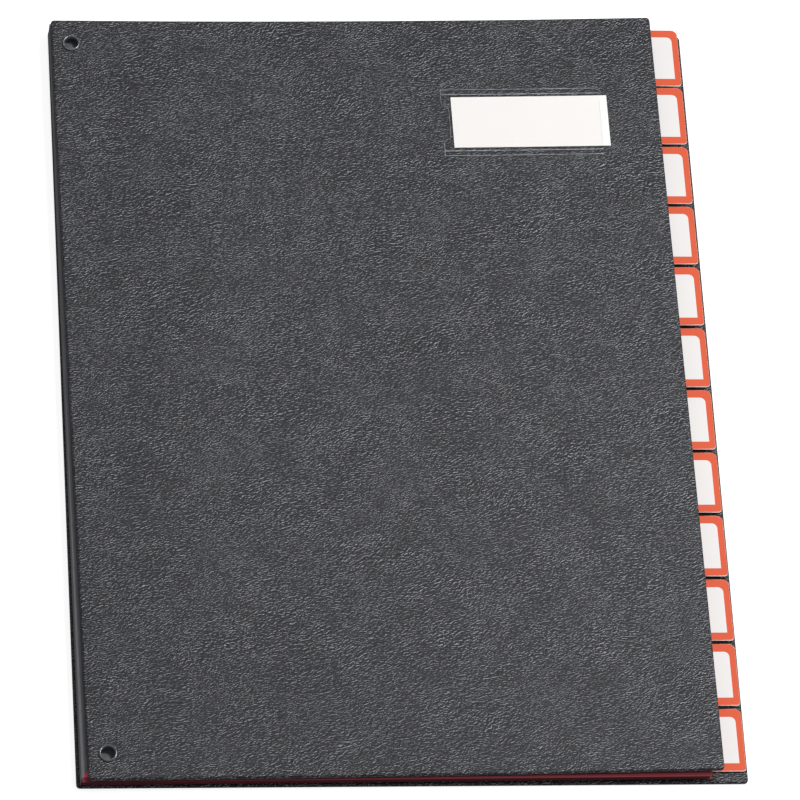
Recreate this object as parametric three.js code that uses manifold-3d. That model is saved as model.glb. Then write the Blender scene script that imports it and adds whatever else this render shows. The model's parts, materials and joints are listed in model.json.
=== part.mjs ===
// A4 desk sorter: two boards in leather-look film, a pleated cloth spine that opens like an
// accordion, and red index cards glued into its pleats, each with a tab at the fore edge.
// Millimetres. +X runs from the spine to the fore edge, +Y from the foot to the head, +Z up.
// The origin is the middle of the back cover's underside.
import * as THREE from 'three';
import { mergeVertices } from 'three/addons/utils/BufferGeometryUtils.js';
import Module from 'manifold-3d';

const wasm = await Module();
wasm.setup();

// Covers
const coverHeight = 340;
const backWidth = 265;
const frontWidth = 250;
const boardThickness = 2;
const boardCorner = 1.5;
const boardArris = 0.7;
const liningThickness = 0.1;
const liningMargin = 6;
const coverDip = 1;            // how far the bowed front cover dips at mid width
const coverTwist = 3;          // how far its head corner at the fore edge curls up
const coverSkew = 0.4;         // degrees that it has slipped round its head corner
const coverSetback = 1;        // its head corner, in from the back cover's spine edge
const coverDrop = 0.9;         // its head corner, down from the back cover's head edge

// Sheets and cloth
const sheetCount = 12;
const sheetMargin = 0.8;       // sheets, in from the back cover's head and foot edges
const cardThickness = 0.22;
const clothThickness = 0.1;
const slack = 0.03;            // air on each side of a card in its pleat
const creaseGap = 0.03;        // air between the two legs of an inner crease
const seatGap = 0.05;          // air between cloth and lining, lining and board
const coverClearance = 0.2;    // air between the top pleat and the bowed cover's lining
const foldInset = 0.8;         // pleats, in from the back cover's spine edge
const pleatDepth = 18;
const cardInset = 0.15;        // card's spine edge, in from the inside of its pleat
const topSlip = 1.4;           // how far the top card has slipped towards the foot
const cardLean = 0.05;         // how much further out each card lies than the one above it
const mitreRun = 2.8;            // slanted cut at the pleats' ends
const mitreDepth = 6;

// Tabs
const tabReach = 14.4;
const tabInset = 1.9;          // tabs' fore edge, in from the back cover's fore edge
const tabHeadMargin = 0.5;
const tabFootMargin = 4;
const tabGap = 1.55;
const tabHeadCorner = 2.4;
const tabFootCorner = 1.3;
const labelThickness = 0.08;
const labelLift = 0.02;
const labelMargin = 0.3;       // label's inner edge, out from the sheet's fore edge
const labelHeadBorder = 3.3;
const labelFootBorder = 3.3;
const labelForeBorder = 2.4;
const labelCorner = 2.2;

// Title pocket on the front cover, measured from the cover's fore and head edges
const pocketFromFore = 24.6;
const pocketTop = 33.4;
const pocketLength = 66;
const pocketHeight = 31.3;
const pocketFilm = 0.15;
const pocketWeld = 2.4;        // welded rim along head and foot
const pocketSideWeld = 2.8;    // and along the spine side
const pocketLift = 0.1;
const notchHeight = 14.6;      // thumb cut through the spine side's weld
const notchDepth = 3.4;
const titleLength = 64.9;
const titleHeight = 23.7;
const titleThickness = 0.25;
const titleClearance = 0.12;
const titleProud = 3.1;         // title card, out past the pocket's open side

// Eyelets at the spine side of both covers
const eyeletBore = 2.65;       // inner radius
const eyeletWall = 0.35;
const eyeletRim = 3.75;        // outer radius of the rolled rim
const eyeletRimHeight = 0.55;
const eyeletFromSpine = 8;
const eyeletFromEnd = 11;
const eyeletClearance = 0.1;

const arcSteps = 4;
const widthSteps = 16;
const lengthSteps = 6;
const foldSteps = 6;
const rimSteps = 5;
const roundSteps = 24;

const rad = THREE.MathUtils.degToRad;
const spineX = -backWidth / 2;
const headY = coverHeight / 2;
const footY = -headY;

const film = { color: 0x4a4b4f, roughness: 0.5, metalness: 0 };
const lining = { color: 0x2c2c2f, roughness: 0.85, metalness: 0 };
const cloth = { color: 0x4d4b4e, roughness: 0.55, metalness: 0 };
const redCard = { color: 0xe8674a, roughness: 0.75, metalness: 0 };
const whitePaper = { color: 0xf5f2ee, roughness: 0.7, metalness: 0 };
const clearFilm = { color: 0xd8dde0, roughness: 0.15, metalness: 0, transparent: true, opacity: 0.35 };
const blackLacquer = { color: 0x26272a, roughness: 0.3, metalness: 0.6 };

const sorter = new THREE.Group();

function addPiece(parent, name, geometry, look) {
  const mesh = new THREE.Mesh(geometry, new THREE.MeshStandardMaterial(look));
  mesh.name = name;
  parent.add(mesh);
  return mesh;
}

function toManifold(geometry) {
  let bare = geometry.clone();
  bare.deleteAttribute('normal');
  bare.deleteAttribute('uv');
  bare = mergeVertices(bare, 1e-5);
  return new wasm.Manifold(new wasm.Mesh({
    numProp: 3,
    vertProperties: new Float32Array(bare.attributes.position.array),
    triVerts: new Uint32Array(bare.index.array),
  }));
}

function toGeometry(solid) {
  const mesh = solid.getMesh();
  const geometry = new THREE.BufferGeometry();
  geometry.setAttribute('position', new THREE.BufferAttribute(new Float32Array(mesh.vertProperties), 3));
  geometry.setIndex(new THREE.BufferAttribute(new Uint32Array(mesh.triVerts), 1));
  geometry.computeVertexNormals();
  return geometry;
}

function cut(geometry, cutters) {
  return toGeometry(cutters.reduce((solid, cutter) => solid.subtract(toManifold(cutter)), toManifold(geometry)));
}

// Height of the bowed front cover over the level of its spine edge, with x from its spine edge and
// y from its head edge: a parabola across the width, and a twist that grows towards the head.
function bowHeight(x, y) {
  const across = x / frontWidth;
  const alongFromFoot = 1 + y / coverHeight;
  return coverDip * ((2 * across - 1) ** 2 - 1) + coverTwist * across * across * alongFromFoot;
}

function bow(geometry) {
  const p = geometry.attributes.position;
  for (let i = 0; i < p.count; i += 1) {
    p.setZ(i, p.getZ(i) + bowHeight(p.getX(i), p.getY(i)));
  }
  return geometry;
}

// A sheet of board lofted along X: every station is a rounded bar section across Y, drawn in by the
// corner radius and by the arris near both ends. Its spine edge is at x 0 and its head at y 0.
function coverBoard(width) {
  const height = coverHeight;
  const thickness = boardThickness;
  const corner = boardCorner;
  const arris = boardArris;
  const drawIn = (d, r) => (d >= r ? 0 : r - Math.sqrt(r * r - (r - d) * (r - d)));
  const stations = [];
  for (let i = 0; i <= arcSteps; i += 1) {
    stations.push(arris * (1 - Math.cos((Math.PI / 2) * (i / arcSteps))));
  }
  for (let i = 1; i <= arcSteps; i += 1) {
    stations.push(arris + (corner - arris) * (i / arcSteps) ** 1.5);
  }
  for (let i = 1; i < widthSteps / 2; i += 1) {
    stations.push(corner + ((width - 2 * corner) * i) / widthSteps);
  }
  const mirrored = stations.map((x) => width - x).reverse();
  const xs = [...stations, width / 2, ...mirrored];
  const ring = (x) => {
    const d = Math.min(x, width - x);
    const inset = drawIn(d, corner);
    const shrink = Math.min(drawIn(d, arris), thickness / 2 - 0.01);
    const r = arris - shrink;
    const points = [];
    const half = height / 2 - inset - arris;
    const corners = [[half, thickness - arris], [-half, thickness - arris], [-half, arris], [half, arris]];
    corners.forEach(([y, z], quarter) => {
      for (let i = 0; i <= arcSteps; i += 1) {
        const a = (Math.PI / 2) * (quarter + i / arcSteps);
        points.push([x, y + r * Math.cos(a) - height / 2, z + r * Math.sin(a)]);
      }
      for (let i = 1; i < lengthSteps && quarter % 2 === 0; i += 1) {
        points.push([x, y * (1 - (2 * i) / lengthSteps) - height / 2, z + r * (1 - quarter)]);
      }
    });
    return points;
  };
  const rings = xs.map(ring);
  const n = rings[0].length;
  const positions = rings.flat(2);
  const index = [];
  for (let s = 0; s < rings.length - 1; s += 1) {
    for (let i = 0; i < n; i += 1) {
      const a = s * n + i;
      const b = s * n + ((i + 1) % n);
      index.push(a, b, a + n, b, b + n, a + n);
    }
  }
  const last = (rings.length - 1) * n;
  for (let i = 1; i < n - 1; i += 1) {
    index.push(0, i + 1, i);
    index.push(last, last + i, last + i + 1);
  }
  const geometry = new THREE.BufferGeometry();
  geometry.setAttribute('position', new THREE.Float32BufferAttribute(positions, 3));
  geometry.setIndex(index);
  geometry.computeVertexNormals();
  return geometry;
}

function cylinder(radius, low, high, x, y) {
  const geometry = new THREE.CylinderGeometry(radius, radius, high - low, roundSteps);
  geometry.rotateX(Math.PI / 2);
  geometry.translate(x, y, (low + high) / 2);
  return geometry;
}

// An eyelet is turned from the section of a tube with a rolled rim at both ends.
function eyelet(low, high) {
  const rimMiddle = (eyeletBore + eyeletRim) / 2;
  const rimHalf = (eyeletRim - eyeletBore) / 2;
  const outer = eyeletBore + eyeletWall;
  const points = [];
  for (let i = 0; i <= rimSteps; i += 1) {
    const a = Math.PI - (Math.PI * i) / rimSteps;
    points.push([rimMiddle + rimHalf * Math.cos(a), high + eyeletRimHeight * Math.sin(a)]);
  }
  points.push([outer, high], [outer, low]);
  for (let i = 0; i <= rimSteps; i += 1) {
    const a = (Math.PI * i) / rimSteps;
    points.push([rimMiddle + rimHalf * Math.cos(a), low - eyeletRimHeight * Math.sin(a)]);
  }
  const profile = [...points, points[0]].map(([r, z]) => new THREE.Vector2(r, z));
  const geometry = new THREE.LatheGeometry(profile.reverse(), roundSteps);
  geometry.rotateX(Math.PI / 2);
  return geometry;
}

// Levels, from the table up
const pleatRise = clothThickness + cardThickness + 2 * slack;
const creaseRise = clothThickness + creaseGap;
const sheetPitch = pleatRise + creaseRise;
const backLiningBottom = boardThickness + seatGap;
const bottomLeg = backLiningBottom + liningThickness + seatGap + clothThickness / 2;
const topLeg = bottomLeg + sheetCount * sheetPitch + pleatRise;
const frontLiningBottom = topLeg + clothThickness / 2 + coverClearance + coverDip;
const frontBoardBottom = frontLiningBottom + liningThickness + seatGap;
const frontTop = frontBoardBottom + boardThickness;
const cardBottom = (i) => topLeg - pleatRise - i * sheetPitch + clothThickness / 2 + slack;

// Places across the width
const pleatOuterX = spineX + foldInset;
const creaseX = pleatOuterX + pleatDepth;
const cardLeftX = pleatOuterX + clothThickness + cardInset;
const tabForeX = -spineX - tabInset;
const sheetForeX = tabForeX - tabReach;
const sheetHeight = coverHeight - 2 * sheetMargin;
const sheetFootY = footY + sheetMargin;
const tabPitch = (coverHeight - tabHeadMargin - tabFootMargin + tabGap) / sheetCount;
const tabHeight = tabPitch - tabGap;
const slip = (i) => topSlip / (1 + i);

// The front cover turns on its top spine arris. Its own group holds all that opens with it, from
// its head corner: u runs from the spine edge, v from the head edge towards the foot.
const frontCover = new THREE.Group();
frontCover.position.set(spineX + coverSetback, headY - coverDrop, frontBoardBottom);
frontCover.rotation.z = rad(coverSkew);
sorter.add(frontCover);

const eyeletPlaces = [eyeletFromEnd, coverHeight - eyeletFromEnd];
const holeRadius = eyeletBore + eyeletWall + eyeletClearance;
const dimpleRadius = eyeletRim + eyeletClearance;
const dimpleDepth = eyeletRimHeight + eyeletClearance;

// Cutters for the eyelets of one board: a hole right through, with a pressed dimple in the faces
// whose level is given.
function eyeletCutters(places, dimples) {
  return places.flatMap(([x, y, z]) => [
    cylinder(holeRadius, z - boardThickness, z + 2 * boardThickness, x, y),
    ...dimples.map(([low, high]) => cylinder(dimpleRadius, z + low, z + high, x, y)),
  ]);
}

const innerDimple = [-liningThickness - 2 * seatGap, dimpleDepth];
const frontPlaces = eyeletPlaces.map((v) => [eyeletFromSpine, -v, bowHeight(eyeletFromSpine, -v)]);
const frontBoard = bow(coverBoard(frontWidth));
addPiece(frontCover, 'front_cover', cut(frontBoard, eyeletCutters(frontPlaces, [innerDimple])), film);

function liningSheet(width) {
  const sheet = new THREE.BoxGeometry(
    width - 2 * liningMargin, coverHeight - 2 * liningMargin, liningThickness, widthSteps, lengthSteps, 1,
  );
  sheet.translate(width / 2, -coverHeight / 2, liningThickness / 2);
  return sheet;
}

const frontLining = bow(liningSheet(frontWidth));
frontLining.translate(0, 0, -seatGap - liningThickness);
addPiece(frontCover, 'front_lining', cut(frontLining, frontPlaces.map(
  ([x, y, z]) => cylinder(dimpleRadius, z - boardThickness, z + boardThickness, x, y),
)), lining);

frontPlaces.forEach(([x, y, z], i) => {
  const barrel = eyelet(dimpleDepth, boardThickness + eyeletClearance);
  barrel.translate(x, y, z);
  addPiece(frontCover, `front_eyelet_${i === 0 ? 'head' : 'foot'}`, barrel, blackLacquer);
});

// The title pocket is a film welded down on three sides, with a thumb cut at the spine side, and
// the title card slides in from the fore side.
const channel = titleThickness + 2 * titleClearance;
const pocketRise = pocketLift + boardThickness;

function pocketBlock(length, height, thickness) {
  const block = new THREE.BoxGeometry(length, height, thickness, 12, 1, 1);
  block.translate(length / 2, -height / 2, thickness / 2);
  return block;
}

const pocketLeft = frontWidth - pocketFromFore - pocketLength;
const pocketShell = pocketBlock(pocketLength, pocketHeight, channel + pocketFilm);
const pocketHollow = pocketBlock(pocketLength, pocketHeight - 2 * pocketWeld, channel + pocketLift);
pocketHollow.translate(pocketSideWeld, -pocketWeld, -pocketLift);
const thumbCut = pocketBlock(2 * notchDepth, notchHeight, 4 * channel);
thumbCut.translate(-notchDepth, (notchHeight - pocketHeight) / 2, -channel);
const placeOnCover = (geometry, u, v, z) => bow(geometry.translate(u, -v, z));
addPiece(frontCover, 'title_pocket', cut(
  placeOnCover(pocketShell, pocketLeft, pocketTop, pocketRise),
  [pocketHollow, thumbCut].map((g) => placeOnCover(g, pocketLeft, pocketTop, pocketRise)),
), clearFilm);

const titleCard = pocketBlock(titleLength, titleHeight, titleThickness);
const titleLeft = pocketLeft + pocketLength + titleProud - titleLength;
const titleTop = pocketTop + (pocketHeight - titleHeight) / 2;
addPiece(
  frontCover, 'title_card',
  placeOnCover(titleCard, titleLeft, titleTop, pocketRise + titleClearance), whitePaper,
);

// The back cover lies flat, with its eyelets' rims sunk into dimples so that they clear the table.
const backPlaces = eyeletPlaces.map((v) => [spineX + eyeletFromSpine, headY - v, 0]);
const backBoard = coverBoard(backWidth).translate(spineX, headY, 0);
const backDimples = [[-boardThickness, dimpleDepth], [boardThickness - dimpleDepth, 2 * boardThickness]];
addPiece(sorter, 'back_cover', cut(backBoard, eyeletCutters(backPlaces, backDimples)), film);

const backLining = liningSheet(backWidth).translate(spineX, headY, backLiningBottom);
addPiece(sorter, 'back_lining', cut(backLining, backPlaces.map(
  ([x, y]) => cylinder(dimpleRadius, 0, 2 * boardThickness, x, y),
)), lining);

backPlaces.forEach(([x, y], i) => {
  const barrel = eyelet(dimpleDepth, boardThickness - dimpleDepth);
  barrel.translate(x, y, 0);
  addPiece(sorter, `back_eyelet_${i === 0 ? 'head' : 'foot'}`, barrel, blackLacquer);
});

// The spine is one strip of cloth in pleats. Its section is a centre line of straight legs joined
// by half circles, given the cloth's thickness on both sides.
function pleatedSection() {
  const pleatRadius = pleatRise / 2;
  const creaseRadius = creaseRise / 2;
  const half = clothThickness / 2;
  const one = [];
  const other = [];
  const add = (x, z, nx, nz) => {
    one.push(new THREE.Vector2(x + nx * half, z + nz * half));
    other.push(new THREE.Vector2(x - nx * half, z - nz * half));
  };
  const foldX = pleatOuterX + half + pleatRadius;
  const turnX = creaseX - half - creaseRadius;
  add(creaseX, topLeg, 0, 1);
  let level = topLeg;
  for (let i = 0; i <= sheetCount; i += 1) {
    for (let k = 0; k <= foldSteps; k += 1) {
      const a = Math.PI / 2 + (Math.PI * k) / foldSteps;
      const [c, s] = [Math.cos(a), Math.sin(a)];
      add(foldX + pleatRadius * c, level - pleatRadius + pleatRadius * s, c, s);
    }
    level -= pleatRise;
    if (i === sheetCount) {
      break;
    }
    for (let k = 0; k <= foldSteps; k += 1) {
      const a = Math.PI / 2 - (Math.PI * k) / foldSteps;
      const [c, s] = [Math.cos(a), Math.sin(a)];
      add(turnX + creaseRadius * c, level - creaseRadius + creaseRadius * s, -c, -s);
    }
    level -= creaseRise;
  }
  add(creaseX, level, 0, -1);
  return new THREE.Shape([...one, ...other.reverse()]);
}

const spine = new THREE.ExtrudeGeometry(pleatedSection(), { depth: sheetHeight, bevelEnabled: false });
spine.rotateX(Math.PI / 2);
spine.translate(0, sheetFootY + sheetHeight, 0);

// Both ends of the pleats are cut on a slant, so that they lie flat at head and foot.
function mitreCutter(end) {
  const outline = new THREE.Shape([
    new THREE.Vector2(pleatOuterX + clothThickness, -1),
    new THREE.Vector2(pleatOuterX + clothThickness + mitreRun, mitreDepth),
    new THREE.Vector2(creaseX + 1, mitreDepth),
    new THREE.Vector2(creaseX + 1, -1),
  ]);
  const prism = new THREE.ExtrudeGeometry(outline, { depth: frontTop, bevelEnabled: false });
  if (end > 0) {
    prism.rotateX(Math.PI);
    prism.translate(0, 0, frontTop);
  }
  prism.translate(0, end > 0 ? sheetFootY + sheetHeight : sheetFootY, 0);
  return prism;
}

addPiece(sorter, 'spine_pleats', cut(spine, [mitreCutter(1), mitreCutter(-1)]), cloth);

// One index card: a plain sheet with its tab at the fore edge, the tab's top at tabTop.
function cardOutline(bottom, top, tabTop) {
  const shape = new THREE.Shape();
  const tabBottom = tabTop - tabHeight;
  shape.moveTo(cardLeftX, bottom);
  shape.lineTo(sheetForeX, bottom);
  shape.lineTo(sheetForeX, tabBottom);
  shape.lineTo(tabForeX - tabFootCorner, tabBottom);
  shape.absarc(tabForeX - tabFootCorner, tabBottom + tabFootCorner, tabFootCorner, -Math.PI / 2, 0);
  shape.lineTo(tabForeX, tabTop - tabHeadCorner);
  shape.absarc(tabForeX - tabHeadCorner, tabTop - tabHeadCorner, tabHeadCorner, 0, Math.PI / 2);
  shape.lineTo(sheetForeX, tabTop);
  shape.lineTo(sheetForeX, top);
  shape.lineTo(cardLeftX, top);
  return shape;
}

function labelOutline(tabTop) {
  const shape = new THREE.Shape();
  const left = sheetForeX + labelMargin;
  const right = tabForeX - labelForeBorder;
  const top = tabTop - labelHeadBorder;
  const bottom = tabTop - tabHeight + labelFootBorder;
  shape.moveTo(left, bottom);
  shape.lineTo(right, bottom);
  shape.lineTo(right, top - labelCorner);
  shape.absarc(right - labelCorner, top - labelCorner, labelCorner, 0, Math.PI / 2);
  shape.lineTo(left, top);
  return shape;
}

for (let i = 0; i < sheetCount; i += 1) {
  const number = String(i + 1).padStart(2, '0');
  const bottom = sheetFootY - slip(i);
  const tabTop = headY - tabHeadMargin - i * tabPitch - slip(i);
  const card = new THREE.ExtrudeGeometry(cardOutline(bottom, bottom + sheetHeight, tabTop), {
    depth: cardThickness, bevelEnabled: false, curveSegments: arcSteps,
  });
  addPiece(sorter, `divider_${number}`, card, redCard).position.set(i * cardLean, 0, cardBottom(i));
  const label = new THREE.ExtrudeGeometry(labelOutline(tabTop), {
    depth: labelThickness, bevelEnabled: false, curveSegments: arcSteps,
  });
  const labelMesh = addPiece(sorter, `tab_label_${number}`, label, whitePaper);
  labelMesh.position.set(i * cardLean, 0, cardBottom(i) + cardThickness + labelLift);
}

export default sorter;
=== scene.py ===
import json
from math import cos, pi, radians, sin

import bmesh
import bpy
import numpy as np
from mathutils import Matrix, Vector


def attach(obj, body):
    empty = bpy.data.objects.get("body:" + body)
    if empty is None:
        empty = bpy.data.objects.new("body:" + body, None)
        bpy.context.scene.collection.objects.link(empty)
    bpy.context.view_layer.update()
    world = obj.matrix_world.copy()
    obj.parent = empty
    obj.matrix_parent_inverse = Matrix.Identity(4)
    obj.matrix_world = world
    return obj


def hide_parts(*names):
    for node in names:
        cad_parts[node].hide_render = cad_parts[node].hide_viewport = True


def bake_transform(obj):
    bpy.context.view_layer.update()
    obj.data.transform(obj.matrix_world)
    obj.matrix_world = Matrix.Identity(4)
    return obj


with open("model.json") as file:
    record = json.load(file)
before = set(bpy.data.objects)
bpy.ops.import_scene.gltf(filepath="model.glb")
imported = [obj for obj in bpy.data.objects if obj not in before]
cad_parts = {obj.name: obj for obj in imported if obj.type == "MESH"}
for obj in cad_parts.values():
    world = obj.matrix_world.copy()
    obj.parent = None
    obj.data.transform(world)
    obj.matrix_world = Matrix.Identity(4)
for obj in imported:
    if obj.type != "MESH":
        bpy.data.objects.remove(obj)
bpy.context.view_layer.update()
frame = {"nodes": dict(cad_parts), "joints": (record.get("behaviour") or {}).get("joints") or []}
mm = 0.001
print("frame loaded")

# The covers' own plane: u runs from the spine edge to the fore edge, v from the head edge to the
# foot, w up from the board's underside. The front hinge gives where that plane lies.
hinge = next(j for j in frame["joints"] if j["name"] == "front_cover_hinge")
coverCorner = np.array(hinge["pos_m"]) / mm
coverDown = np.array(hinge["axis"])
coverAcross = np.array([-coverDown[1], coverDown[0], 0.0])
board = dict(height=340.0, frontWidth=250.0, backWidth=265.0, thickness=2.0, corner=1.5,
             arris=0.65, dip=1.0, twist=3.0, backTurn=-0.2, backDrop=0.25)


def linear(code):
    # sRGB hex code to linear RGBA
    s = np.array([int(code[i:i + 2], 16) for i in (0, 2, 4)]) / 255
    rgb = np.where(s <= 0.04045, s / 12.92, ((s + 0.055) / 1.055) ** 2.4)
    return (*[float(c) for c in rgb], 1.0)


def bow(u, v):
    # a parabola across the width, and a twist that lifts the head corner at the fore edge
    across = u / board["frontWidth"]
    dip = board["dip"] * ((2 * across - 1) ** 2 - 1)
    return dip + board["twist"] * across ** 2 * (1 - v / board["height"])


def onFront(u, v, w):
    # head corner + u along the cover's width + v along its spine edge, w and the bow upwards
    flat = coverCorner + np.multiply.outer(u, coverAcross) + np.multiply.outer(v, coverDown)
    flat[..., 2] += w - board["thickness"] + bow(u, v)
    return flat


def onBack(u, v, w):
    # the back cover lies flat round the origin, turned a hair to the stack as in the photograph
    x, y = u - board["backWidth"] / 2, board["height"] / 2 - v
    c, s = cos(radians(board["backTurn"])), sin(radians(board["backTurn"]))
    return np.stack([x * c - y * s, x * s + y * c - board["backDrop"], w + 0 * u], axis=-1)


def addMesh(name, points, faces, *looks, faceLooks=None, creaseAngle=None):
    mesh = bpy.data.meshes.new(name)
    corners = (np.asarray(points) * mm).tolist()
    mesh.from_pydata(corners, [], faces.tolist() if hasattr(faces, "tolist") else faces)
    work = bmesh.new()
    work.from_mesh(mesh)
    bmesh.ops.remove_doubles(work, verts=work.verts, dist=1e-7)
    bmesh.ops.recalc_face_normals(work, faces=work.faces)
    work.to_mesh(mesh)
    work.free()
    for look in looks:
        mesh.materials.append(look)
    if faceLooks is not None:
        mesh.polygons.foreach_set("material_index", faceLooks)
    mesh.polygons.foreach_set("use_smooth", [True] * len(mesh.polygons))
    if creaseAngle:
        mesh.set_sharp_from_angle(angle=radians(creaseAngle))
    piece = bpy.data.objects.new(name, mesh)
    bpy.context.scene.collection.objects.link(piece)
    return piece


def quadStrip(rows, columns, closed=False, start=0):
    # quads between neighbouring rows of a grid of points, round again when closed
    a = np.arange(rows * columns).reshape(rows, columns) + start
    right = np.roll(a, -1, axis=1) if closed else a[:, 1:]
    left = a if closed else a[:, :-1]
    quads = np.stack([left[:-1], right[:-1], right[1:], left[1:]], axis=-1)
    return quads.reshape(-1, 4)


# Materials

def addNode(tree, kind, settings=None, **links):
    # settings go to sockets or to the node itself, and each link's source to the socket of its name,
    # with i0, i1 and so on for a socket's number
    node = tree.nodes.new(kind)
    for key, value in (settings or {}).items():
        if isinstance(key, int) or key in node.inputs:
            node.inputs[key].default_value = value
        else:
            setattr(node, key, value)
    for key, source in links.items():
        numbered = key[0] == "i" and key[1:].isdigit()
        socket = node.inputs[int(key[1:]) if numbered else key.replace("_", " ")]
        tree.links.new(source, socket)
    return node


def newLook(name, colour, roughness, **sockets):
    look = bpy.data.materials.new(name)
    look.use_nodes = True
    tree = look.node_tree
    shader = tree.nodes["Principled BSDF"]
    shader.inputs["Base Color"].default_value = linear(colour)
    shader.inputs["Roughness"].default_value = roughness
    for key, value in sockets.items():
        shader.inputs[key.replace("_", " ")].default_value = value
    place = addNode(tree, "ShaderNodeTexCoord")
    inMm = addNode(tree, "ShaderNodeVectorMath", {"operation": "SCALE", 3: 1 / mm},
                   i0=place.outputs["Object"])
    return look, tree, shader, inMm.outputs[0]


def noise(tree, where, size, detail=2.0, rough=0.5, stretch=(1, 1, 1), turn=0.0, output="Fac"):
    # noise whose features are about size mm, drawn out by stretch along turned axes
    scale = tuple(1 / (size * s) for s in stretch)
    turned = addNode(tree, "ShaderNodeMapping", {"Rotation": (0, 0, radians(turn))}, Vector=where)
    spread = addNode(tree, "ShaderNodeMapping", {"Scale": scale}, Vector=turned.outputs[0])
    return addNode(tree, "ShaderNodeTexNoise", {"Scale": 1.0, "Detail": detail, "Roughness": rough},
                   Vector=spread.outputs[0]).outputs[output]


def maths(tree, operation, a, b=None, c=None):
    node = addNode(tree, "ShaderNodeMath", {"operation": operation})
    for socket, value in zip(node.inputs, (a, b, c)):
        if value is None:
            continue
        if isinstance(value, (int, float)):
            socket.default_value = value
        else:
            tree.links.new(value, socket)
    return node.outputs[0]


def ramp(tree, value, low, high, toLow=0.0, toHigh=1.0):
    node = addNode(tree, "ShaderNodeMapRange", {"interpolation_type": "SMOOTHSTEP", "From Min": low,
                   "From Max": high, "To Min": toLow, "To Max": toHigh}, Value=value)
    return node.outputs[0]


def mixColour(tree, fac, a, b):
    node = addNode(tree, "ShaderNodeMix", {"data_type": "RGBA"})
    for index, value in ((0, fac), (6, a), (7, b)):
        if isinstance(value, (int, float)):
            node.inputs[index].default_value = value
        elif isinstance(value, str):
            node.inputs[index].default_value = linear(value)
        else:
            tree.links.new(value, node.inputs[index])
    return node.outputs[2]


def bump(tree, height, depth, shader):
    # depth is the height's full swing in mm
    node = addNode(tree, "ShaderNodeBump", {"Strength": 1.0, "Distance": depth * mm}, Height=height)
    tree.links.new(node.outputs[0], shader.inputs["Normal"])


def leatherFilm():
    # embossed film: short crinkles, their colour painted with light on one flank and shade on the other, and
    # with painted glints
    look, tree, shader, where = newLook("embossed leather-look film", "3C3D41", 0.34, Specular_IOR_Level=0.26)
    swirl = noise(tree, where, 30.0, detail=1.0, output="Color")
    drift = noise(tree, where, 3.4, detail=2.0, output="Color")
    bent = addNode(tree, "ShaderNodeVectorMath", {"operation": "MULTIPLY_ADD", 1: (9.0, 9.0, 0.0)},
                   i0=swirl, i2=where)
    flow = addNode(tree, "ShaderNodeVectorMath", {"operation": "MULTIPLY_ADD", 1: (1.4, 1.4, 0.0)},
                   i0=drift, i2=bent.outputs[0]).outputs[0]
    # the flank is the drop of the grain over a fifth of a millimetre towards the foot and the fore edge
    below = addNode(tree, "ShaderNodeVectorMath", {"operation": "ADD", 1: (0.08, -0.18, 0.0)}, i0=flow)
    crinkle, lower = (noise(tree, at, 0.5, detail=1.5, rough=0.5, stretch=(2.4, 1, 1), turn=-14)
                      for at in (flow, below.outputs[0]))
    patches = ramp(tree, noise(tree, where, 8.0, detail=3.0), 0.3, 0.72, 0.75, 1.0)
    drop = maths(tree, "MULTIPLY", maths(tree, "SUBTRACT", crinkle, lower), patches)
    bump(tree, crinkle, 0.16, shader)
    # the base colour paints shade and light on the flanks from the drop, and a painted glint on the steepest
    # lit flanks
    body = mixColour(tree, ramp(tree, drop, -0.1, 0.15), "08080B", "2E2F35")
    paintedGlint = maths(tree, "MULTIPLY", ramp(tree, drop, 0.06, 0.17), 0.55)
    tree.links.new(mixColour(tree, paintedGlint, body, "BEC0C9"), shader.inputs["Base Color"])
    tree.links.new(ramp(tree, drop, -0.1, 0.12, 0.55, 0.32), shader.inputs["Roughness"])
    return look


def pleatCloth():
    # coated book cloth: a fine weave under a satin coat
    look, tree, shader, where = newLook("coated book cloth", "4E4D50", 0.45, Specular_IOR_Level=0.5)
    weft = addNode(tree, "ShaderNodeTexWave", {"wave_type": "BANDS", "bands_direction": "Y", "Scale": 0.9,
                   "Distortion": 1.5, "Detail": 1.0}, Vector=where)
    warp = addNode(tree, "ShaderNodeTexWave", {"wave_type": "BANDS", "bands_direction": "X", "Scale": 0.9,
                   "Distortion": 1.5, "Detail": 1.0}, Vector=where)
    weave = maths(tree, "ADD", weft.outputs["Fac"], warp.outputs["Fac"])
    bump(tree, weave, 0.02, shader)
    cloud = noise(tree, where, 6.0, detail=3.0)
    tree.links.new(mixColour(tree, cloud, "5A5A5E", "6E6E73"), shader.inputs["Base Color"])
    return look


def redCard():
    # dyed card, rosy on the sheet and printed orange red under the tabs' film, with fine fibres
    look, tree, shader, where = newLook("red index card", "E8674A", 0.62, Specular_IOR_Level=0.15)
    split = addNode(tree, "ShaderNodeSeparateXYZ", i0=where)
    onTab = ramp(tree, split.outputs[0], 115.8, 116.6)
    fibre = noise(tree, where, 0.5, detail=4.0, stretch=(1, 2.4, 1))
    cloud = noise(tree, where, 14.0)
    sheetTint = mixColour(tree, fibre, "D9525F", "E86A74")
    tabTint = mixColour(tree, cloud, "DC5838", "E16342")
    # painted shade: the sheets' cut edges are a dull maroon, and so is most of the last millimetre at the
    # foot
    facing = addNode(tree, "ShaderNodeNewGeometry")
    side = addNode(tree, "ShaderNodeSeparateXYZ", i0=facing.outputs["True Normal"])
    flat = ramp(tree, maths(tree, "ABSOLUTE", side.outputs[2]), 0.4, 0.8)
    unshadedShare = maths(tree, "MULTIPLY", flat, ramp(tree, split.outputs[1], -168.7, -168.2, 0.25, 1.0))
    sheetTint = mixColour(tree, unshadedShare, "4A2229", sheetTint)
    tree.links.new(mixColour(tree, onTab, sheetTint, tabTint), shader.inputs["Base Color"])
    tree.links.new(maths(tree, "MULTIPLY_ADD", onTab, -0.16, 0.66), shader.inputs["Roughness"])
    bump(tree, fibre, 0.012, shader)
    return look


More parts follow.
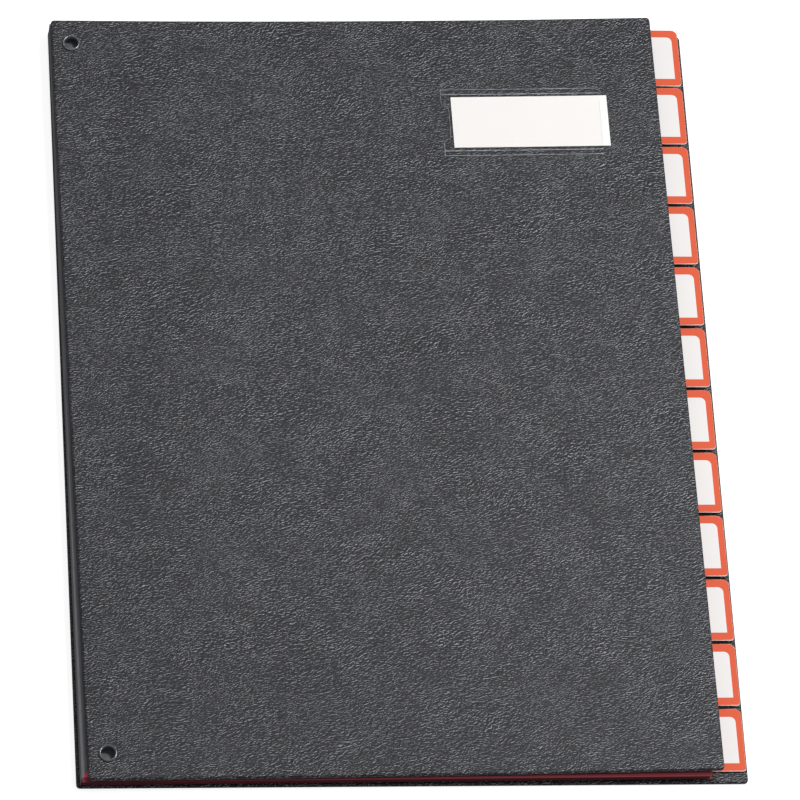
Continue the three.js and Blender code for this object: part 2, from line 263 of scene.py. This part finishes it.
def whitePaper(name, shade, bright, roughness):
    # smooth label paper: barely tinted, with a faint fibre
    look, tree, shader, where = newLook(name, shade, roughness, Specular_IOR_Level=0.25)
    fibre = noise(tree, where, 0.7, detail=4.0, stretch=(1, 1.8, 1))
    cloud = noise(tree, where, 18.0)
    both = maths(tree, "ADD", maths(tree, "MULTIPLY", fibre, 0.4), maths(tree, "MULTIPLY", cloud, 0.6))
    tree.links.new(mixColour(tree, both, shade, bright), shader.inputs["Base Color"])
    bump(tree, fibre, 0.008, shader)
    return look


def liningPaper():
    # black end paper with a dull tooth
    look, tree, shader, where = newLook("black lining paper", "2A2A2D", 0.85, Specular_IOR_Level=0.3)
    tooth = noise(tree, where, 0.6, detail=5.0)
    tree.links.new(mixColour(tree, tooth, "232326", "35353A"), shader.inputs["Base Color"])
    bump(tree, tooth, 0.03, shader)
    return look


def blackLacquer():
    # lacquered brass eyelet: glossy, with a little orange peel
    look, tree, shader, where = newLook("black lacquered metal", "1E1F22", 0.26, Specular_IOR_Level=0.6,
                                        Coat_Weight=0.5, Coat_Roughness=0.15)
    peel = noise(tree, where, 0.5, detail=2.0)
    bump(tree, peel, 0.02, shader)
    tree.links.new(mixColour(tree, peel, "3E3F43", "55565B"), shader.inputs["Base Color"])
    return look


def clearFilm():
    # the pocket's clear film, a thin gloss over what lies beneath
    look, tree, shader, where = newLook("clear pocket film", "1E1F22", 0.14,
                                        Specular_IOR_Level=0.9, Alpha=0.02)
    ripple = noise(tree, where, 12.0)
    bump(tree, ripple, 0.12, shader)
    look.surface_render_method = "BLENDED"
    return look


def paleFilmWithPaintedLight(name, low, high, alpha):
    # film made pale along its bead: on the pocket's welds a painted highlight, on the tabs' sealed edges the
    # film's haze together with painted light
    look, tree, shader, where = newLook(name, low, 0.3, Specular_IOR_Level=0.5, Alpha=alpha)
    grain = noise(tree, where, 1.6, detail=3.0)
    tree.links.new(mixColour(tree, ramp(tree, grain, 0.35, 0.65), low, high), shader.inputs["Base Color"])
    bump(tree, grain, 0.03, shader)
    look.surface_render_method = "BLENDED"
    return look


film = leatherFilm()
cloth = pleatCloth()
card = redCard()
labelPaper = whitePaper("white tab label paper", "E6E3E2", "EFECEA", 0.5)
titlePaper = whitePaper("white title card", "FAF6F2", "FFFDFA", 0.55)
lining = liningPaper()
lacquer = blackLacquer()
clear = clearFilm()
weld = paleFilmWithPaintedLight("welded pocket film, painted highlight", "7C8087", "B8BCC3", 0.8)
# the sealed edges' pale pink is the film's haze with painted light, paler still at the foot
seal = paleFilmWithPaintedLight("sealed tab edge", "E88468", "EC9880", 0.9)
paleSeal = paleFilmWithPaintedLight("sealed foot edge of a tab", "EFC9BF", "F6E0DA", 0.95)
print("materials made")


# Boards wrapped in film

wrap = dict(border=3.0, reach=2.4, fineStep=0.3, wideStep=4.5, growth=0.3, nearEyelet=5.5,
            rings=(2.2, 1.5, 1.0), arrisSteps=6, hole=3.15, dimple=(3.85, 5.0), dimpleDepth=0.65,
            dishFrom=3.0, dishRun=2.2, dishDepth=0.16, ripple=0.05)
eyeletSpots = [(8.0, 11.0), (8.0, board["height"] - 11.0)]


def gridLines(length, middles):
    # stations from border to border, close near the corners and the eyelets and wide elsewhere
    border, reach, near = wrap["border"], wrap["reach"], wrap["nearEyelet"]
    zones = [(border, border + reach), (length - border - reach, length - border)]
    zones += [(m - near, m + near) for m in middles]
    lines = [border]
    while lines[-1] < length - border:
        away = min(max(a - lines[-1], lines[-1] - b, 0) for a, b in zones)
        lines.append(lines[-1] + min(wrap["fineStep"] + wrap["growth"] * away, wrap["wideStep"]))
    lines = np.array(lines)
    return border + (lines - border) * (length - 2 * border) / (lines[-1] - border)


def roundedOutline(p, size):
    # where each point of the inner rectangle's edge goes on the board's rounded outline: straight out,
    # and near a corner by its share of the path round the arc
    r, reach, border = board["corner"], wrap["reach"], wrap["border"]
    outer = size / 2
    inner = outer - border
    q = np.abs(p - outer)
    away = inner - q
    sideU = away[:, 0] < away[:, 1]
    t = np.where(sideU, away[:, 1], away[:, 0])
    half = np.where(sideU, outer[1], outer[0])
    other = np.where(sideU, outer[0], outer[1])
    arc = pi / 4 * r
    path = t / reach * (arc + reach + border - r)
    angle = pi / 4 - path / r
    onArc = path < arc
    nearCorner = t < reach
    out = np.where(nearCorner & onArc, other - r + r * np.cos(angle), other)
    roundCorner = np.where(onArc, half - r + r * np.sin(angle), half - r - (path - arc))
    along = np.where(nearCorner, roundCorner, half - border - t)
    placed = np.where(sideU[:, None], np.stack([out, along], 1), np.stack([along, out], 1))
    return placed * np.sign(p - outer) + outer


def undulation(u, v):
    # slow swells of the board under its film, a few hundredths of a millimetre
    long = np.sin(u / 17.0 + 1.3 * np.sin(v / 41.0)) * np.sin(v / 23.0 + 0.7)
    short = np.sin(u / 9.0 - v / 13.0) * np.cos(v / 31.0 + u / 53.0)
    return long + 0.6 * short


def wrappedBoard(name, width, place, topDimple):
    # two faces on one grid, joined round the edge by a band of rings that rounds both arrises
    height, thick, arris, border = board["height"], board["thickness"], board["arris"], wrap["border"]
    us = gridLines(width, [eyeletSpots[0][0]])
    vs = gridLines(height, [v for _, v in eyeletSpots])
    u, v = np.meshgrid(us, vs, indexing="ij")
    index = np.arange(u.size).reshape(u.shape)
    loop = np.concatenate([index[:-1, 0], index[-1, :-1], index[:0:-1, -1], index[0, :0:-1]])
    flat = np.stack([u.ravel(), v.ravel()], 1)
    start = flat[loop]
    end = roundedOutline(start, np.array([width, height]))
    turn = np.linspace(0, pi / 2, wrap["arrisSteps"])
    over = [(inset, thick) for inset in wrap["rings"]]
    over += [(arris * (1 - sin(a)), thick - arris * (1 - cos(a))) for a in turn]
    profile = over + [(inset, thick - w) for inset, w in reversed(over)]
    rings = [np.column_stack([start + (end - start) * (1 - inset / border), np.full(len(loop), w)])
             for inset, w in profile]
    top = np.column_stack([flat, np.full(len(flat), thick)])
    bottom = np.column_stack([flat, np.zeros(len(flat))])
    points = np.concatenate([top, *rings, bottom])
    # quads of the two faces, and of the band of rings between them
    grid = quadStrip(*u.shape)
    first = len(top)
    ringRows = np.concatenate([loop[None], first + np.arange(len(rings) * len(loop)).reshape(len(rings), -1),
                               (first + len(rings) * len(loop) + loop)[None]])
    nextAlong = np.roll(ringRows, -1, axis=1)
    band = np.stack([ringRows[:-1], nextAlong[:-1], nextAlong[1:], ringRows[1:]], -1).reshape(-1, 4)
    faces = np.concatenate([grid, grid[:, ::-1] + first + len(rings) * len(loop), band])
    # round holes for the eyelets: quads inside go, and the points left inside move out to the rim
    pu, pv, pw = points.T
    upper = pw > thick / 2
    for eu, ev in eyeletSpots:
        away = np.hypot(pu - eu, pv - ev)
        faces = faces[~(away[faces] < wrap["hole"]).all(axis=1)]
        push = np.where(away < wrap["hole"], wrap["hole"] / np.maximum(away, 1e-6), 1.0)
        pu, pv = eu + (pu - eu) * push, ev + (pv - ev) * push
        low, high = wrap["dimple"]
        share = np.clip((high - np.maximum(away, low)) / (high - low), 0, 1)
        share = share * share * (3 - 2 * share)
        soft = np.exp(-(np.maximum(away - wrap["dishFrom"], 0) / wrap["dishRun"]) ** 2)
        dish = wrap["dishDepth"] * soft * (topDimple == 0)
        pw = np.where(upper, pw - topDimple * share - dish, pw + wrap["dimpleDepth"] * share)
    used = np.unique(faces)
    faces = np.searchsorted(used, faces)
    pw = pw + np.where(upper, wrap["ripple"] * undulation(pu, pv) * np.clip(pw - thick / 2, 0, 1), 0)
    return addMesh(name, place(pu[used], pv[used], pw[used]), faces, film)


# the front cover's top has a soft dish round its eyelets, and every other face a pressed dimple
for body, width, place, topDimple in (("front_cover", board["frontWidth"], onFront, 0.0),
                                      ("back_cover", board["backWidth"], onBack, wrap["dimpleDepth"])):
    wrapped = wrappedBoard(f"{body}_wrapped", width, place, topDimple)
    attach(wrapped, body)
    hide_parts(body)
print("boards wrapped")


# Eyelets

eyelet = dict(bore=2.65, wall=0.35, rim=3.75, rise=0.55, steps=64)


def turnedEyelet(name, place, u, v, low, high):
    # a tube with a rolled rim at both ends, turned round its axis
    middle, half = (eyelet["bore"] + eyelet["rim"]) / 2, (eyelet["rim"] - eyelet["bore"]) / 2
    a = np.linspace(pi, 0, 13)
    topRim = np.column_stack([middle + half * np.cos(a), high + eyelet["rise"] * np.sin(a)])
    barrel = np.array([[eyelet["bore"] + eyelet["wall"], high], [eyelet["bore"] + eyelet["wall"], low]])
    footRim = np.column_stack([middle + half * np.cos(a[::-1]), low - eyelet["rise"] * np.sin(a)])
    bore = np.column_stack([np.full(3, eyelet["bore"]), np.linspace(low, high, 5)[1:-1]])
    profile = np.concatenate([topRim, barrel, footRim, bore])
    turn = np.arange(eyelet["steps"]) * 2 * pi / eyelet["steps"]
    level = place(np.array([u]), np.array([v]), np.array([0.0]))[0]
    radius, lift = profile.T
    ring = np.stack([np.multiply.outer(radius, np.cos(turn)), np.multiply.outer(radius, np.sin(turn)),
                     np.repeat(lift[:, None], len(turn), 1)], -1)
    rows = np.concatenate([ring, ring[:1]])
    return addMesh(name, (rows + level).reshape(-1, 3), quadStrip(len(rows), len(turn), closed=True), lacquer)


# each tube runs from the dimple in its board's underside to the top face, or to the dimple in it
low = wrap["dimpleDepth"]
for body, place, high in (("front_cover", onFront, board["thickness"] + 0.1),
                          ("back_cover", onBack, board["thickness"] - low)):
    side = body.split("_")[0]
    for end, (u, v) in zip(("head", "foot"), eyeletSpots):
        ring = turnedEyelet(f"{side}_eyelet_{end}_turned", place, u, v, low, high)
        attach(ring, body)
        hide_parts(f"{side}_eyelet_{end}")
print("eyelets turned")


# Pleated spine

pleats = dict(count=12, outer=-131.7, crease=-113.7, cloth=0.1, topLeg=8.75, rise=0.38, drop=0.13,
              foldSteps=8, legPoints=6, rows=46, headY=169.2, footY=-169.2, mitreFrom=0.5, mitreRise=2.5,
              mitreDepth=6.0, ripple=0.07, blendFrom=0.3, blendRun=5)


def pleatPath():
    # centre line from the top end leg to the bottom one: points (x, z), normals, and fold number,
    # -1 on the legs
    half = pleats["cloth"] / 2
    outerR, innerR = pleats["rise"] / 2, pleats["drop"] / 2
    foldX, turnX = pleats["outer"] + half + outerR, pleats["crease"] - half - innerR
    a = np.linspace(pi / 2, 3 * pi / 2, pleats["foldSteps"] + 1)
    legStops = np.linspace(0, 1, pleats["legPoints"])[1:-1]
    parts = []

    def leg(fromX, toX, z, up):
        x = fromX + (toX - fromX) * legStops
        n = len(x)
        parts.append(np.column_stack([x, np.full(n, z), np.zeros(n), np.full(n, up), np.full(n, -1)]))

    z = pleats["topLeg"]
    parts.append(np.array([[pleats["crease"], z, 0, 1, -1]]))
    leg(pleats["crease"], foldX, z, 1)
    for i in range(pleats["count"] + 1):
        c, s = np.cos(a), np.sin(a)
        parts.append(np.column_stack([foldX + outerR * c, z - outerR + outerR * s, c, s, np.full(len(a), i)]))
        z -= pleats["rise"]
        if i == pleats["count"]:
            break
        leg(foldX, turnX, z, -1)
        parts.append(np.column_stack([turnX - innerR * c, z - innerR + innerR * s, c, -s,
                                      np.full(len(a), -1)]))
        z -= pleats["drop"]
        leg(turnX, foldX, z, 1)
    leg(foldX, pleats["crease"], z, -1)
    parts.append(np.array([[pleats["crease"], z, 0, -1, -1]]))
    return np.concatenate(parts)


def slantAt(x):
    # how far the cloth's ends are cut back at x, on a slant over the first millimetres from the folds
    fromFold = x - pleats["outer"] - pleats["mitreFrom"]
    return np.clip(fromFold * pleats["mitreRise"], 0, pleats["mitreDepth"])


def clothStrip(name, path):
    # both faces of the cloth: the path, half a cloth out along its normals, swept from foot to head
    x, z, normalX, normalZ, fold = (path[:, k:k + 1] for k in range(5))
    ends = slantAt(x)
    share = np.linspace(0, 1, pleats["rows"])
    y = pleats["footY"] + ends + (pleats["headY"] - pleats["footY"] - 2 * ends) * share
    # the outer folds lie a little unevenly
    wave = 0.5 + 0.5 * np.sin(y / 21.0 + 2.1 * fold)
    lean = np.where(fold >= 0, pleats["ripple"] * wave * np.clip(-normalX, 0, 1), 0)
    half = pleats["cloth"] / 2
    upper, lower = (np.stack([x + side * half * normalX - lean, y, z + side * half * normalZ + 0 * y], -1)
                    for side in (1, -1))
    rows = np.concatenate([upper, lower[::-1]])
    n, m = rows.shape[:2]
    index = np.arange(n * m).reshape(n, m)
    closing = np.stack([index[-1, :-1], index[-1, 1:], index[0, 1:], index[0, :-1]], -1)
    first, second = index[:n // 2], index[n // 2:][::-1]
    caps = [np.stack([first[:-1, k], first[1:, k], second[1:, k], second[:-1, k]], -1) for k in (0, -1)]
    faces = np.concatenate([quadStrip(n, m), closing, *caps])
    return addMesh(name, rows.reshape(-1, 3), faces, cloth, creaseAngle=50)


path = pleatPath()
endLeg = pleats["legPoints"]
strips = [("spine_pleats_middle", path[endLeg - 1:len(path) - endLeg + 1]),
          ("spine_pleats_front_leg", path[:endLeg]), ("spine_pleats_back_leg", path[-endLeg:])]
middle, frontLeg, backLeg = (clothStrip(name, part) for name, part in strips)
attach(middle, "sections")
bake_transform(frontLeg)
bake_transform(backLeg)
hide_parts("spine_pleats")
print("spine pleated")


# Tabs: a sealed edge of the clear film round each

tab = dict(sheetFore=116.2, fore=130.6, height=26.5375, pitch=28.0875, headMargin=0.5, headCorner=2.4,
           footCorner=1.3, slip=1.4, lean=0.05, cardTop=8.67, sheetPitch=0.51, edge=0.2)


def cornerArc(x, y, radius, start, end, count):
    # points of a round corner about x, y
    a = np.linspace(start, end, count)
    return np.column_stack([x + radius * np.cos(a), y + radius * np.sin(a)])


def tabOutline(top, grow):
    # the tab's outline from its head root round to its foot root, grown outwards
    fore, bottom, headR, footR = tab["fore"], top - tab["height"], tab["headCorner"], tab["footCorner"]
    head = cornerArc(fore - headR, top - headR, headR + grow, pi / 2, 0, 9)
    foot = cornerArc(fore - footR, bottom + footR, footR + grow, 0, -pi / 2, 7)
    root = tab["sheetFore"] + 0.2
    return np.concatenate([[[root, top + grow]], head, foot, [[root, bottom - grow]]])


def sealedEdges():
    # a flat ribbon with a rounded back round every tab
    points, faces, looks, start = [], [], [], 0
    for i in range(pleats["count"]):
        slip = tab["slip"] / (1 + i)
        top = board["height"] / 2 - tab["headMargin"] - i * tab["pitch"] - slip
        level = tab["cardTop"] - i * tab["sheetPitch"]
        inner, under, lip, outer = (tabOutline(top, grow) for grow in (-0.12, 0.02, 0.12, tab["edge"]))
        rows = [(inner, 0.012), (lip, 0.012), (outer, -0.08), (outer, -0.14), (lip, -0.22),
                (under, -0.225), (under, -0.01), (inner, 0.004)]
        stack = np.stack([np.column_stack([line, np.full(len(line), level + lift)]) for line, lift in rows])
        stack[..., 0] += i * tab["lean"]
        points.append(stack.reshape(-1, 3))
        ring = quadStrip(len(rows), stack.shape[1], start=start)
        index = np.arange(len(rows) * stack.shape[1]).reshape(len(rows), -1) + start
        closing = np.stack([index[-1, :-1], index[-1, 1:], index[0, 1:], index[0, :-1]], -1)
        faces += ring.tolist() + closing.tolist() + [index[:, 0].tolist(), index[::-1, -1].tolist()]
        atFoot = np.arange(stack.shape[1] - 1) >= stack.shape[1] - 6
        looks.append(np.concatenate([np.tile(atFoot, len(rows)), [False, True]]))
        start += stack.shape[0] * stack.shape[1]
    return addMesh("tab_sealed_edges", np.concatenate(points), faces, seal, paleSeal,
                   faceLooks=np.concatenate(looks).astype(int))


edges = sealedEdges()
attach(edges, "sections")
print("tab edges sealed")


# Title pocket

pocket = dict(left=159.4, top=33.4, length=66.0, height=31.3, film=0.12, weld=2.4, notch=14.6, notchDepth=3.0,
              level=2.1, over=0.62)


def titlePocket():
    # the film seen from above is a sheet of stations u by v: low along the welds, raised over the
    # card, open at the fore side, with a rounded bead along each weld
    atEdge = [0, 0.08, 0.16, 0.24, 0.34]
    inset = pocket["weld"]
    v = np.concatenate([atEdge, [0.7, 1.2, 1.9], np.linspace(inset - 0.24, inset + 0.24, 7), [3.0, 3.4, 3.8]])
    across = np.concatenate([v, np.linspace(4.6, pocket["height"] - 4.6, 12), pocket["height"] - v[::-1]])
    toEdge = np.minimum(across, pocket["height"] - across)
    lift = np.clip((toEdge - 2.5) / 1.3, 0, 1)
    lift = lift * lift * (3 - 2 * lift) * (pocket["over"] - pocket["film"])
    bead = 0.14 * np.exp(-((toEdge - 0.16) / 0.1) ** 2) + 0.16 * np.exp(-((toEdge - inset) / 0.13) ** 2)
    beadAcross = (toEdge < 0.3) | (np.abs(toEdge - inset) < 0.19)
    along = np.concatenate([atEdge, [0.9, 1.6, 2.4, 3.2],
                            np.linspace(4.5, pocket["length"] - 0.4, 22), [pocket["length"]]])
    u, w = np.meshgrid(along, across, indexing="ij")
    # the thumb cut: stations near the spine side move in where the cut is, with rounded corners
    fromMiddle = np.abs(across - pocket["height"] / 2)
    half = pocket["notch"] / 2
    step = 0.5 - 0.5 * np.tanh((fromMiddle - half) / 0.25)
    inward = pocket["notchDepth"] * step
    fade = np.clip((12 - u) / 12, 0, 1)
    u = u + inward[None] * fade
    spineBead = 0.14 * np.exp(-((along - 0.16) / 0.1) ** 2)[:, None] * (step < 0.5)[None]
    rise = np.clip((u - 2.6) / 1.2, 0, 1)
    top = pocket["level"] + pocket["film"] + lift[None] * rise + np.maximum(bead[None], spineBead)
    under = np.minimum(top - 0.06, pocket["level"] + lift[None] * rise)
    rows, columns = u.shape
    upper = np.stack([u, w, top], -1).reshape(-1, 3)
    lower = np.stack([u, w, under], -1).reshape(-1, 3)
    grid = quadStrip(rows, columns)
    index = np.arange(rows * columns).reshape(rows, columns)
    loop = np.concatenate([index[:-1, 0], index[-1, :-1], index[:0:-1, -1], index[0, :0:-1]])
    after = np.roll(loop, -1)
    wall = np.stack([loop, after, after + rows * columns, loop + rows * columns], -1)
    faces = np.concatenate([grid, grid[:, ::-1] + rows * columns, wall])
    points = np.concatenate([upper, lower])
    placed = onFront(pocket["left"] + points[:, 0], pocket["top"] + points[:, 1], points[:, 2])
    # the beads and the film's cut edges take the pale welded film, a painted highlight
    quadAcross = (beadAcross[:-1] & beadAcross[1:])[None] & np.ones((rows - 1, 1), bool)
    quadAlong = (along[1:] <= 0.3)[:, None] & np.ones((1, columns - 1), bool)
    pale = (quadAcross | quadAlong).ravel().astype(int)
    looks = np.concatenate([pale, pale, np.ones(len(wall), int)])
    return addMesh("title_pocket_film", placed, faces, clear, weld, faceLooks=looks)


pocketPiece = titlePocket()
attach(pocketPiece, "front_cover")
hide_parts("title_pocket")
print("pocket welded")


# Looks of the CAD nodes that are shown as they are
looksOf = {"divider": card, "tab_label": labelPaper, "title_card": titlePaper,
           "front_lining": lining, "back_lining": lining}
for name, node in frame["nodes"].items():
    for start, look in looksOf.items():
        if name.startswith(start):
            node.data.materials.clear()
            node.data.materials.append(look)


# Room

def softLamp(name, size, power, place, aim):
    lamp = bpy.data.lights.new(name, "AREA")
    lamp.shape = "RECTANGLE"
    lamp.size, lamp.size_y = size
    lamp.energy = power
    holder = bpy.data.objects.new(name, lamp)
    holder.location = place
    holder.rotation_euler = (Vector(aim) - Vector(place)).to_track_quat("-Z", "Y").to_euler()
    bpy.context.scene.collection.objects.link(holder)


def paleFloor():
    # a white floor: the camera sees it lit a little more than the object does, so that it stays white
    look = bpy.data.materials.new("white studio floor")
    look.use_nodes = True
    tree = look.node_tree
    shader = tree.nodes["Principled BSDF"]
    shader.inputs["Base Color"].default_value = (0.5, 0.5, 0.5, 1)
    shader.inputs["Roughness"].default_value = 0.9
    shader.inputs["Specular IOR Level"].default_value = 0.1
    shader.inputs["Emission Color"].default_value = (1, 1, 1, 1)
    lightPath = addNode(tree, "ShaderNodeLightPath")
    seen = maths(tree, "MULTIPLY", lightPath.outputs["Is Camera Ray"], 0.8)
    tree.links.new(seen, shader.inputs["Emission Strength"])
    side = 6000.0
    floor = addMesh("studio_floor", [[-side, -side, 0], [side, -side, 0], [side, side, 0], [-side, side, 0]],
                    [[0, 1, 2, 3]], look)


paleFloor()
world = bpy.context.scene.world or bpy.data.worlds.new("studio")
bpy.context.scene.world = world
world.use_nodes = True
sky = world.node_tree.nodes["Background"]
sky.inputs["Color"].default_value = (1, 1, 1, 1)
sky.inputs["Strength"].default_value = 0.3
softLamp("key lamp", (0.22, 0.22), 7, (0.95, -0.2, 0.75), (0.05, -0.05, 0))
softLamp("lamp behind", (0.35, 0.35), 17, (0.66, 0.56, 1.95), (0, 0, 0))
softLamp("lamp at the head", (0.2, 0.2), 6, (0.0, 1.4, 1.95), (-0.1, 0.1, 0))


# Camera: azimuth, elevation and roll as in the photograph, from its distance and lens
shot = dict(azimuth=-16.863, elevation=62.008, roll=14.915, distance=2.3937, lens=266.74,
            target=(0.00444, -0.00052, 0.0))


def addCamera():
    a, e, r = (radians(shot[k]) for k in ("azimuth", "elevation", "roll"))
    back = Vector((sin(a) * cos(e), -cos(a) * cos(e), sin(e)))
    right = (-back).cross(Vector((0, 0, 1))).normalized()
    up = right.cross(-back)
    x = cos(r) * right + sin(r) * up
    y = -sin(r) * right + cos(r) * up
    data = bpy.data.cameras.new("photo camera")
    data.lens, data.sensor_width = shot["lens"], 36.0
    data.clip_end = 50
    camera = bpy.data.objects.new("photo camera", data)
    bpy.context.scene.collection.objects.link(camera)
    placed = Matrix((x, y, back)).transposed().to_4x4()
    placed.translation = Vector(shot["target"]) + back * shot["distance"]
    camera.matrix_world = placed
    bpy.context.scene.camera = camera


addCamera()
bpy.context.scene.view_settings.view_transform = "Standard"
print("room and camera set")
